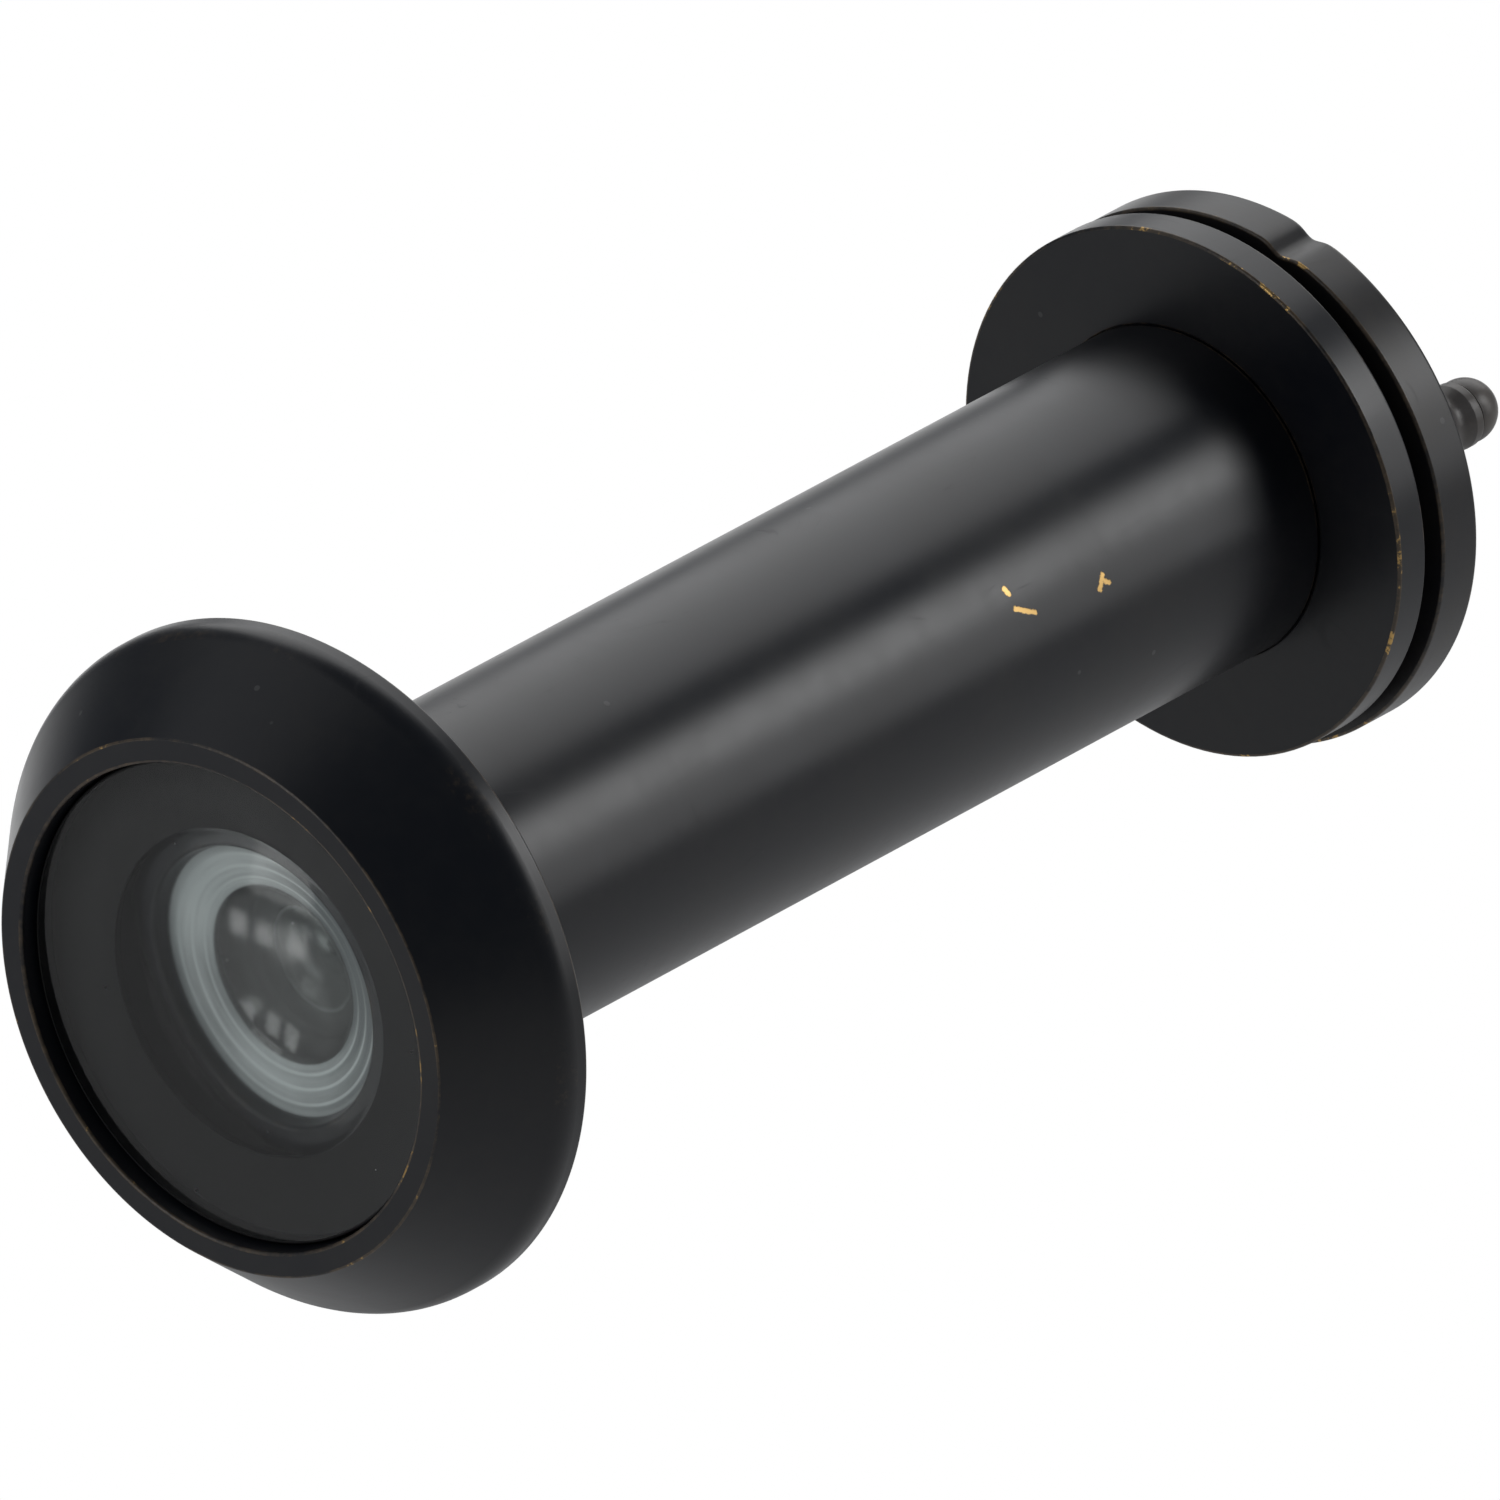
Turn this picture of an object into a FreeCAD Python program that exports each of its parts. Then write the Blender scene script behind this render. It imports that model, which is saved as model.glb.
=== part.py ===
import FreeCAD, Part
import math
import os

# Door viewer, millimetres. The barrel's axis is Y: -Y is outdoors, +Y is indoors, +Z is up.
# The origin is on that axis, in the plane where the outdoor flange seats on the door.

# Driving dimensions
BARREL_RADIUS = 7.0
CLOSED_GRIP = 53.0            # door thickness held with the tube screwed fully home
HEAD_DEPTH = 5.2              # how far the outdoor head stands out from the door
HEAD_RADIUS = 14.2
ROLL_Y = -1.15                # where the head's bevel would meet its side
ROLL_RADIUS = 1.6
RIM_RADIUS = 11.1
RECESS_RADIUS = 10.1
RECESS_DEPTH = 0.75           # from the rim down to the front lens
HEAD_FLOOR = 2.2              # metal between the front lens and the door
EYE_FLANGE_RADIUS = 11.1
EYE_FLANGE_THICKNESS = 1.6
COVER_GAP = 0.9               # the dark groove between indoor flange and cover
COVER_THICKNESS = 2.15
COVER_RADIUS = 11.25
COVER_DROP = 0.28             # how far the cover hangs below the barrel's axis
COVER_BACK_EDGE = 0.2
THREAD_PITCH = 1.0
THREAD_DEPTH = 0.5
THREAD_RADIUS = 6.3           # outside of the inner tube's thread
THREAD_FORM = (0.40, 0.55, 0.95)  # start and end of the crest, and end of the flank, in pitches
THREAD_LEAD_IN = 0.5          # plain root before the first turn
THREAD_RUN_OUT = 3            # pitches of plain root left before the flange
RELIEF_RADIUS = 7.08          # shallow relief in the indoor flange that the barrel's end enters
RELIEF_DEPTH = 0.15
TUBE_REACH = 38.0             # how far the inner tube goes into the barrel
TUBE_BORE_RADIUS = 5.0
EYE_APERTURE_RADIUS = 4.0
KNOB_ANGLE = 24.2             # degrees from +X towards +Z, seen from outdoors
KNOB_ORBIT = 9.2
PIVOT_ORBIT = 8.2
NICK_ANGLE = 75.0
NICK_RADIUS = 0.65
NICK_OFFSET = 0.3             # how far outside the cover's rim the nick is centred
BALL_RADIUS = 1.32

RUNNING = 0.05                # radial clearance of turning and sliding fits
FACE_GAP = 0.1                # clearance between faces that turn past each other
EDGE = 0.12                   # broken edge on turned brass
FINE_EDGE = 0.06              # broken edge on small rings
GLASS_EDGE = 0.1
CLEAR = 1.0                   # how far a cutter runs past the face that it cuts

# Levels along the axis
RIM_Y = -HEAD_DEPTH
FRONT_LENS_Y = RIM_Y + RECESS_DEPTH
FLOOR_Y = -HEAD_FLOOR
FLANGE_Y = CLOSED_GRIP
BARREL_END_Y = FLANGE_Y + RELIEF_DEPTH - FACE_GAP
LAND_BASE_Y = FLANGE_Y + EYE_FLANGE_THICKNESS
COVER_Y = LAND_BASE_Y + COVER_GAP
LAND_TOP_Y = COVER_Y - FACE_GAP
COVER_BACK_Y = COVER_Y + COVER_THICKNESS
TUBE_END_Y = FLANGE_Y - TUBE_REACH

# Lens cell in the outdoor end of the barrel
CELL_RADIUS = 6.25
CELL_PART_RADIUS = 6.2
CELL_END_Y = 9.1
LIP_RADIUS = 6.05
LIP_Y = -1.4
GASKET_THICKNESS = 0.3
GASKET_RADII = (9.9, 7.1)     # outside and inside
FRONT_LENS_RADIUS = 10.0
FRONT_DISH_RADIUS = 6.65
FRONT_DISH_DEPTH = 1.1
SECOND_LENS_THICKNESS = 2.6
SECOND_FUNNEL_RADIUS = 5.95   # ground funnel that leads down to the second lens's dish
SECOND_FUNNEL_DEPTH = 1.0
SECOND_DISH_RADIUS = 4.0
SECOND_DISH_DEPTH = 0.9
CELL_SPACER_LENGTH = 2.4
CELL_SPACER_BORE = 5.0
STOP_THICKNESS = 0.3
STOP_RADIUS = 3.4
THIRD_LENS_THICKNESS = 2.4
THIRD_DISH_RADIUS = 3.2
THIRD_DISH_DEPTH = 1.0
RING_LENGTH = 1.8
RING_BORE = 4.6
SPANNER_SLOT = 1.0
SPANNER_DEPTH = 0.8

# Eyepiece in the indoor end of the inner tube
OCULAR_RADIUS = TUBE_BORE_RADIUS - RUNNING
OCULAR_CURVE = 14.0
OCULAR_EDGE = 1.2
OCULAR_GASKET = 0.25
OCULAR_SEAT_Y = FLANGE_Y - 0.5
DISH_FLOOR_Y = FLANGE_Y + 0.4  # where the dished opening meets the eye aperture
OCULAR_RING_LENGTH = 1.7
DISH_RADIUS = 5.6
LAND_RADIUS = 10.1
COIN_SLOT_WIDTH = 1.6
COIN_SLOT_DEPTH = 0.55

# Cover pivot
SCREW_SHANK_RADIUS = 0.8
SCREW_HEAD_RADIUS = 1.5
SCREW_HEAD_HEIGHT = 0.7
SCREW_HEAD_SIDE = 0.35        # height of the head's straight side
SCREW_CROWN = (0.7, 0.6)      # radius of the crown's corner, in head radii, and its rounding
SCREW_SLOT_ANGLE = KNOB_ANGLE + 50
SCREW_SLOT = 0.38
SCREW_DEPTH = 1.8             # length of the shank held in the flange and its land
SPRING_RADIUS = 1.4
SPRING_THICKNESS = 0.15
SPRING_POCKET_DEPTH = 0.35
SPRING_CLEARANCE = 0.03       # between the spring's crown and the cover

# Knob: levels from the cover's back face, or from the ball's centre where they are negative
KNOB_SHANK_RADIUS = 0.6
KNOB_SHANK_SETBACK = 0.2      # from the cover's front face to the shank's end
KNOB_COLLAR = (1.3, 0.3)      # radius and level of its edge
KNOB_WAIST = (1.12, 1.1)
KNOB_WAIST_ROUNDING = 0.8
KNOB_BEAD = (1.36, -0.85, -0.42)  # radius and the levels of its edges
KNOB_GROOVE = (1.22, -0.38, -0.34)
BALL_OFFSET = 2.6             # ball's centre behind the cover's back face

ORIGIN = FreeCAD.Vector(0, 0, 0)
Y_AXIS = FreeCAD.Vector(0, 1, 0)


def polar(orbit, angle):
    """The X and Z of a point on a circle about the barrel's axis."""
    turn = math.radians(angle)
    return orbit * math.cos(turn), orbit * math.sin(turn)


def rounded(before, corner, after, radius):
    """Start, middle and end of the arc that rounds a corner of an outline."""
    back = (before - corner).normalize()
    ahead = (after - corner).normalize()
    half = back.getAngle(ahead) / 2
    reach = radius / math.tan(half)
    middle = (back + ahead).normalize()
    centre = corner + middle * (radius / math.sin(half))
    return corner + back * reach, centre - middle * radius, corner + ahead * reach


def turned(corners):
    """A solid turned about Y from a closed outline of (radius, y) or (radius, y, rounding) corners."""
    points = [FreeCAD.Vector(corner[0], corner[1], 0) for corner in corners]
    edges = []
    start = None
    first = None
    for index, corner in enumerate(corners):
        entry = leave = points[index]
        if len(corner) == 3:
            before = points[index - 1]
            after = points[(index + 1) % len(points)]
            entry, middle, leave = rounded(before, points[index], after, corner[2])
        if start is None:
            first = entry
        else:
            edges.append(Part.LineSegment(start, entry).toShape())
        if len(corner) == 3:
            edges.append(Part.Arc(entry, middle, leave).toShape())
        start = leave
    edges.append(Part.LineSegment(start, first).toShape())
    return Part.Face(Part.Wire(edges)).revolve(ORIGIN, Y_AXIS, 360)


def rod(radius, start_y, end_y, x=0.0, z=0.0):
    """A plain cylinder along Y."""
    return Part.makeCylinder(radius, end_y - start_y, FreeCAD.Vector(x, start_y, z), Y_AXIS)


def ring(outer, inner, start_y, end_y, edge=FINE_EDGE):
    """A turned ring with its four edges broken."""
    corners = [(inner, start_y), (outer, start_y), (outer, end_y), (inner, end_y)]
    return turned([(radius, y, edge) for radius, y in corners])


def ball_radius(width, depth):
    """Radius of the sphere that dishes a face over this half-width to this depth."""
    return (width ** 2 + depth ** 2) / (2 * depth)


def sag(curve, radius):
    """How far a spherical face falls away at a radius."""
    return curve - math.sqrt(curve ** 2 - radius ** 2)


def dished_lens(radius, start_y, end_y, width, depth, dish_indoors):
    """A negative lens: one flat face, and one with a ground flat around a spherical dish."""
    blank = turned([(0, start_y), (radius, start_y, GLASS_EDGE), (radius, end_y, GLASS_EDGE), (0, end_y)])
    curve = ball_radius(width, depth)
    if dish_indoors:
        centre_y = end_y - depth + curve
    else:
        centre_y = start_y + depth - curve
    return blank.cut(Part.makeSphere(curve, FreeCAD.Vector(0, centre_y, 0)))


def make_second_lens(back_y):
    """Negative lens with a ground funnel around its dish."""
    dish_y = LIP_Y + SECOND_FUNNEL_DEPTH
    blank = turned([
        (0, dish_y),
        (SECOND_DISH_RADIUS, dish_y),
        (SECOND_FUNNEL_RADIUS, LIP_Y),
        (CELL_PART_RADIUS, LIP_Y, GLASS_EDGE),
        (CELL_PART_RADIUS, back_y, GLASS_EDGE),
        (0, back_y),
    ])
    curve = ball_radius(SECOND_DISH_RADIUS, SECOND_DISH_DEPTH)
    return blank.cut(Part.makeSphere(curve, FreeCAD.Vector(0, dish_y + SECOND_DISH_DEPTH - curve, 0)))


def bar_across(width, low_y, high_y, angle):
    """A bar lying across the axis between two levels, to cut a slot."""
    span = 4 * EYE_FLANGE_RADIUS
    bar = Part.makeBox(span, high_y - low_y, width, FreeCAD.Vector(-span / 2, low_y, -width / 2))
    bar.rotate(ORIGIN, Y_AXIS, -angle)
    return bar


def make_outer_barrel():
    """Bevelled head, seat and barrel turned from one bar."""
    barrel_bore = THREAD_RADIUS + RUNNING
    return turned([
        (RECESS_RADIUS, FLOOR_Y),
        (RECESS_RADIUS, RIM_Y, EDGE),
        (RIM_RADIUS, RIM_Y, EDGE),
        (HEAD_RADIUS, ROLL_Y, ROLL_RADIUS),
        (HEAD_RADIUS, 0, EDGE),
        (BARREL_RADIUS, 0),
        (BARREL_RADIUS, BARREL_END_Y, 0.2),
        (barrel_bore, BARREL_END_Y, 0.15),
        (barrel_bore, CELL_END_Y),
        (CELL_RADIUS, CELL_END_Y),
        (CELL_RADIUS, LIP_Y),
        (LIP_RADIUS, LIP_Y),
        (LIP_RADIUS, FLOOR_Y, 0.15),
    ])


def make_outdoor_optics():
    """The lens stack, from the front lens back to the ring that holds the rest of it in."""
    front_back_y = FLOOR_Y - GASKET_THICKNESS
    second_back_y = LIP_Y + SECOND_LENS_THICKNESS
    spacer_back_y = second_back_y + CELL_SPACER_LENGTH
    stop_back_y = spacer_back_y + STOP_THICKNESS
    third_back_y = stop_back_y + THIRD_LENS_THICKNESS
    ring_back_y = third_back_y + RING_LENGTH
    threaded_ring = ring(CELL_PART_RADIUS, RING_BORE, third_back_y, ring_back_y)
    return {
        "front_lens": dished_lens(FRONT_LENS_RADIUS, FRONT_LENS_Y, front_back_y,
                                  FRONT_DISH_RADIUS, FRONT_DISH_DEPTH, True),
        "front_lens_gasket": ring(*GASKET_RADII, front_back_y, FLOOR_Y, EDGE),
        "second_lens": make_second_lens(second_back_y),
        "lens_spacer": ring(CELL_PART_RADIUS, CELL_SPACER_BORE, second_back_y, spacer_back_y),
        "aperture_stop": ring(CELL_PART_RADIUS, STOP_RADIUS, spacer_back_y, stop_back_y),
        "third_lens": dished_lens(CELL_PART_RADIUS, stop_back_y, third_back_y,
                                  THIRD_DISH_RADIUS, THIRD_DISH_DEPTH, False),
        "lens_retaining_ring": threaded_ring.cut(
            bar_across(SPANNER_SLOT, ring_back_y - SPANNER_DEPTH, ring_back_y + CLEAR, 0)),
    }


def make_eyepiece_optics():
    """Ocular lens, with the gasket behind it and the ring in front of it."""
    gasket_y = OCULAR_SEAT_Y - RUNNING - OCULAR_GASKET
    edge_y = gasket_y - OCULAR_EDGE
    apex_y = edge_y - sag(OCULAR_CURVE, OCULAR_RADIUS)
    blank = rod(OCULAR_RADIUS, apex_y - CLEAR, gasket_y)
    crown = Part.makeSphere(OCULAR_CURVE, FreeCAD.Vector(0, apex_y + OCULAR_CURVE, 0))
    ring_back_y = apex_y + sag(OCULAR_CURVE, EYE_APERTURE_RADIUS)
    ring_front_y = ring_back_y - OCULAR_RING_LENGTH
    threaded_ring = turned([
        (OCULAR_RADIUS, ring_front_y, EDGE),
        (OCULAR_RADIUS, ring_back_y, FINE_EDGE),
        (EYE_APERTURE_RADIUS, ring_back_y),
        (EYE_APERTURE_RADIUS, ring_front_y, EDGE),
    ])
    slot = bar_across(SPANNER_SLOT, ring_front_y - CLEAR, ring_front_y + SPANNER_DEPTH, 0)
    return {
        "ocular_lens": blank.common(crown),
        "ocular_gasket": ring(OCULAR_RADIUS, EYE_APERTURE_RADIUS, gasket_y, gasket_y + OCULAR_GASKET),
        "ocular_retaining_ring": threaded_ring.cut(slot),
    }


def thread_corners(start_y, turns):
    """Outline of the inner tube's thread, from its outdoor end back."""
    root = THREAD_RADIUS - THREAD_DEPTH
    crest_start, crest_end, flank_end = THREAD_FORM
    corners = []
    for turn in range(turns):
        y = start_y + turn * THREAD_PITCH
        corners.append((root, y))
        corners.append((THREAD_RADIUS, y + crest_start * THREAD_PITCH))
        corners.append((THREAD_RADIUS, y + crest_end * THREAD_PITCH))
        corners.append((root, y + flank_end * THREAD_PITCH))
    return corners


def make_inner_tube():
    """Threaded tube, indoor flange and the eyepiece land that the cover slides over."""
    root = THREAD_RADIUS - THREAD_DEPTH
    turns = int(TUBE_REACH / THREAD_PITCH) - THREAD_RUN_OUT
    outline = [
        (TUBE_BORE_RADIUS, TUBE_END_Y),
        (root, TUBE_END_Y),
    ]
    outline += thread_corners(TUBE_END_Y + THREAD_LEAD_IN, turns)
    outline += [
        (root, FLANGE_Y + RELIEF_DEPTH),
        (RELIEF_RADIUS, FLANGE_Y + RELIEF_DEPTH),
        (RELIEF_RADIUS, FLANGE_Y),
        (EYE_FLANGE_RADIUS, FLANGE_Y, EDGE),
        (EYE_FLANGE_RADIUS, LAND_BASE_Y, EDGE),
        (LAND_RADIUS, LAND_BASE_Y),
        (LAND_RADIUS, LAND_TOP_Y, FINE_EDGE),
        (DISH_RADIUS, LAND_TOP_Y, EDGE),
        (EYE_APERTURE_RADIUS, DISH_FLOOR_Y, EDGE),
        (EYE_APERTURE_RADIUS, OCULAR_SEAT_Y),
        (TUBE_BORE_RADIUS, OCULAR_SEAT_Y),
    ]
    tube = turned(outline)
    x, z = polar(PIVOT_ORBIT, KNOB_ANGLE + 180)
    high_y = LAND_TOP_Y + CLEAR
    pocket = rod(SPRING_RADIUS + FACE_GAP, LAND_TOP_Y - SPRING_POCKET_DEPTH, high_y, x, z)
    hole = rod(SCREW_SHANK_RADIUS, LAND_TOP_Y - SCREW_DEPTH, high_y, x, z)
    slot = bar_across(COIN_SLOT_WIDTH, LAND_TOP_Y - COIN_SLOT_DEPTH, high_y, KNOB_ANGLE + 90)
    return tube.cut(slot).cut(pocket).cut(hole)


def make_pivot_parts():
    """Shoulder screw that the cover swings on, and the dished spring that makes it stay put."""
    x, z = polar(PIVOT_ORBIT, KNOB_ANGLE + 180)
    head_y = COVER_BACK_Y + RUNNING
    top_y = head_y + SCREW_HEAD_HEIGHT
    screw = turned([
        (0, LAND_TOP_Y - SCREW_DEPTH),
        (SCREW_SHANK_RADIUS, LAND_TOP_Y - SCREW_DEPTH, EDGE),
        (SCREW_SHANK_RADIUS, head_y),
        (SCREW_HEAD_RADIUS, head_y, FINE_EDGE),
        (SCREW_HEAD_RADIUS, head_y + SCREW_HEAD_SIDE, EDGE),
        (SCREW_CROWN[0] * SCREW_HEAD_RADIUS, top_y, SCREW_CROWN[1]),
        (0, top_y),
    ])
    screw = screw.cut(bar_across(SCREW_SLOT, top_y - SCREW_SLOT, top_y + CLEAR, SCREW_SLOT_ANGLE))
    floor_y = LAND_TOP_Y - SPRING_POCKET_DEPTH
    hole = SCREW_SHANK_RADIUS + RUNNING
    lift = COVER_Y - SPRING_CLEARANCE - SPRING_THICKNESS - floor_y
    spring = turned([
        (SPRING_RADIUS, floor_y),
        (SPRING_RADIUS, floor_y + SPRING_THICKNESS),
        (hole, floor_y + lift + SPRING_THICKNESS),
        (hole, floor_y + lift),
    ])
    for piece in (screw, spring):
        piece.translate(FreeCAD.Vector(x, 0, z))
    return {"pivot_screw": screw, "spring_washer": spring}


def make_cover():
    """Privacy cover, with its pivot and knob holes and the rounded nick in its rim."""
    disc = turned([
        (0, COVER_Y),
        (COVER_RADIUS, COVER_Y, EDGE),
        (COVER_RADIUS, COVER_BACK_Y, COVER_BACK_EDGE),
        (0, COVER_BACK_Y),
    ])
    disc.translate(FreeCAD.Vector(0, 0, -COVER_DROP))
    low_y = COVER_Y - CLEAR
    high_y = COVER_BACK_Y + CLEAR
    pivot_x, pivot_z = polar(PIVOT_ORBIT, KNOB_ANGLE + 180)
    knob_x, knob_z = polar(KNOB_ORBIT, KNOB_ANGLE)
    nick_x, nick_z = polar(COVER_RADIUS + NICK_OFFSET, NICK_ANGLE)
    disc = disc.cut(rod(SCREW_SHANK_RADIUS + RUNNING, low_y, high_y, pivot_x, pivot_z))
    disc = disc.cut(rod(KNOB_SHANK_RADIUS, low_y, high_y, knob_x, knob_z - COVER_DROP))
    return disc.cut(rod(NICK_RADIUS, low_y, high_y, nick_x, nick_z - COVER_DROP))


def make_knob():
    """Turned ball knob on a waisted and beaded neck, its shank peened into the cover."""
    x, z = polar(KNOB_ORBIT, KNOB_ANGLE)
    shank_y = COVER_Y + KNOB_SHANK_SETBACK
    ball_y = COVER_BACK_Y + BALL_OFFSET
    collar_radius, collar_height = KNOB_COLLAR
    waist_radius, waist_height = KNOB_WAIST
    bead_radius, bead_front, bead_back = KNOB_BEAD
    groove_radius, groove_front, groove_back = KNOB_GROOVE
    stem = turned([
        (0, shank_y),
        (KNOB_SHANK_RADIUS, shank_y),
        (KNOB_SHANK_RADIUS, COVER_BACK_Y),
        (collar_radius, COVER_BACK_Y),
        (collar_radius, COVER_BACK_Y + collar_height, EDGE),
        (waist_radius, COVER_BACK_Y + waist_height, KNOB_WAIST_ROUNDING),
        (bead_radius, ball_y + bead_front, EDGE),
        (bead_radius, ball_y + bead_back, EDGE),
        (groove_radius, ball_y + groove_front),
        (groove_radius, ball_y + groove_back),
        (0, ball_y + groove_back),
    ])
    low_angle = math.degrees(math.asin(groove_back / BALL_RADIUS))
    ball = Part.makeSphere(BALL_RADIUS, FreeCAD.Vector(0, ball_y, 0), Y_AXIS, low_angle, 90)
    knob = stem.fuse(ball).removeSplitter()
    knob.translate(FreeCAD.Vector(x, 0, z - COVER_DROP))
    return knob


def make_all():
    parts = {"outer_barrel": make_outer_barrel()}
    parts.update(make_outdoor_optics())
    parts.update(make_eyepiece_optics())
    parts["inner_tube"] = make_inner_tube()
    parts.update(make_pivot_parts())
    parts["cover"] = make_cover()
    parts["cover_knob"] = make_knob()
    return parts


os.makedirs("parts", exist_ok=True)
for name, shape in make_all().items():
    shape.exportStep("parts/" + name + ".step")
    print(name, shape.ShapeType, len(shape.Solids), shape.isValid(), round(shape.Volume, 2))
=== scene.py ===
import math
from collections import namedtuple

import bpy
from mathutils import Euler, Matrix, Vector


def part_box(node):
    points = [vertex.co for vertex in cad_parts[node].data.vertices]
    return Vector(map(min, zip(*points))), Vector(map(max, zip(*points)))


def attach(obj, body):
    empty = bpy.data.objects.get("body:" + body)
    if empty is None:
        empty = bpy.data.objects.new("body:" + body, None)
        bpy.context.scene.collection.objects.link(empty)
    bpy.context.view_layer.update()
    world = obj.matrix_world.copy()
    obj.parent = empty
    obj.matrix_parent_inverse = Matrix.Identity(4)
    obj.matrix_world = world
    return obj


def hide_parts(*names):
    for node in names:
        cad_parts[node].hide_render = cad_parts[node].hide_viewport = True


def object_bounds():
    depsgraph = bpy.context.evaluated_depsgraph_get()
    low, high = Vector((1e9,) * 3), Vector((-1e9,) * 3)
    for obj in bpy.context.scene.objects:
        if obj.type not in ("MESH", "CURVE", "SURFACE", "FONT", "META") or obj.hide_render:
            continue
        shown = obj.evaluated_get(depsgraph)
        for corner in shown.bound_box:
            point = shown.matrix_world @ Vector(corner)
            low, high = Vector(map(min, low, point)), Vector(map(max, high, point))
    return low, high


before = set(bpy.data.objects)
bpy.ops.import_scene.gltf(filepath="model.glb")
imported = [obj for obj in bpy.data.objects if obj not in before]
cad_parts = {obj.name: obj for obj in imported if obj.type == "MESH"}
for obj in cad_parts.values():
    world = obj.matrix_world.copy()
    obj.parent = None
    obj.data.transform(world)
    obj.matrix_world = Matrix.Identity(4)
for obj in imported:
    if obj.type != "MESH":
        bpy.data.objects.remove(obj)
cad_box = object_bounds()

# Door viewer. The barrel's axis is Y: -Y is outdoors, +Y is indoors, +Z is up.
# Outlines and sizes are in millimetres, and MM turns them into metres where they enter Blender.
MM = 0.001


def extent(node):
    """Lowest and highest corners of a CAD node, in millimetres."""
    low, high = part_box(node)
    return low / MM, high / MM


# Sizes that the frame gives
BARREL_LOW, BARREL_HIGH = extent("outer_barrel")
FRONT_LOW, FRONT_HIGH = extent("front_lens")
SECOND_LOW, SECOND_HIGH = extent("second_lens")
THIRD_LOW, THIRD_HIGH = extent("third_lens")
TUBE_LOW, TUBE_HIGH = extent("inner_tube")
OCULAR_LOW, OCULAR_HIGH = extent("ocular_lens")
SCREW_LOW, SCREW_HIGH = extent("pivot_screw")
COVER_LOW, COVER_HIGH = extent("cover")
KNOB_LOW, KNOB_HIGH = extent("cover_knob")

HEAD_RADIUS = BARREL_HIGH.x
RIM_LEVEL = BARREL_LOW.y
BARREL_END = BARREL_HIGH.y
COVER_RADIUS = COVER_HIGH.x
COVER_Z = COVER_LOW.z + COVER_RADIUS
SCREW_X = (SCREW_LOW.x + SCREW_HIGH.x) / 2
SCREW_Z = (SCREW_LOW.z + SCREW_HIGH.z) / 2
KNOB_X = (KNOB_LOW.x + KNOB_HIGH.x) / 2
KNOB_Z = (KNOB_LOW.z + KNOB_HIGH.z) / 2
KNOB_ANGLE = math.degrees(math.atan2(KNOB_Z - COVER_Z, KNOB_X))

# Sizes inside those boxes
BARREL_RADIUS = 7.0
BORE_RADIUS = 6.35
CELL_RADIUS = 6.25
CELL_END = 9.1
LIP_RADIUS = 6.05
LIP_LEVEL = SECOND_LOW.y
HEAD_FLOOR = -2.2
RECESS_RADIUS = FRONT_HIGH.x + 0.1
RIM_RADIUS = RECESS_RADIUS + 1.0
ROLL_LEVEL = -1.15            # where the head's bevel would meet its side
ROLL_RADIUS = 1.6
EDGE = 0.12                   # broken edge on turned brass
FRONT_DISH = (6.65, 1.1)      # half-width and depth of each ground dish
SECOND_FUNNEL = (5.95, 1.0)   # radius and depth of the ground funnel round the dish
SECOND_DISH = (4.0, 0.9)
THIRD_DISH = (3.2, 1.0)
LENS_BEVEL = 0.16
OCULAR_CURVE = 14.0
THREAD_ROOT = 5.8
THREAD_CREST = 6.3
THREAD_PITCH = 1.0
THREAD_START = TUBE_LOW.y + 0.5
THREAD_END = TUBE_LOW.y + 35.5
TUBE_BORE = 5.0
FLANGE_RADIUS = TUBE_HIGH.x
FLANGE_LEVEL = 53.0
FLANGE_BACK = FLANGE_LEVEL + 1.6
RELIEF_RADIUS = BARREL_RADIUS + 0.01
RELIEF_LEVEL = FLANGE_LEVEL + 0.15
LAND_RADIUS = FLANGE_RADIUS - 1.0
LAND_TOP = TUBE_HIGH.y
DISH_RADIUS = 5.6
APERTURE_RADIUS = 4.0
COIN_SLOT = (1.6, 0.55)       # width and depth
SPRING_POCKET = (1.5, 0.35)   # radius and depth
SCREW_SHANK = 0.8
SCREW_HEAD = 1.5
SCREW_SLOT = 0.38             # width and depth
SCREW_SLOT_TURN = 50.0        # from the line through the knob
SCREW_CLEARANCE = 0.05
KNOB_SHANK = 0.6
KNOB_COLLAR = (1.3, 0.3)      # radius, and level from the cover's back
KNOB_WAIST = (1.12, 1.1)
KNOB_BEAD = (1.36, -0.85, -0.42)  # radius, and levels from the ball's centre
KNOB_GROOVE = (1.22, -0.38, -0.34)
BALL_RADIUS = 1.32
NICK_ANGLE = 75.0
NICK_SIZE = (0.3, 0.6)        # depth and width
SEAT_FILM = 0.015             # lens faces stay this far off what they seat on
MERGE_DISTANCE = 0.001        # points nearer than this become one


# ---------------------------------------------------------------- outlines

Point = namedtuple("Point", "radius level wear lead ground", defaults=(0.0, 0.0, 0.0))
Corner = namedtuple("Corner", "radius level rounding wear ground", defaults=(0.0, 0.0, 0.0))
ARC_STEPS = 6
HOLD = 0.03                   # the flat stays flat up to this far from a rounding


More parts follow.
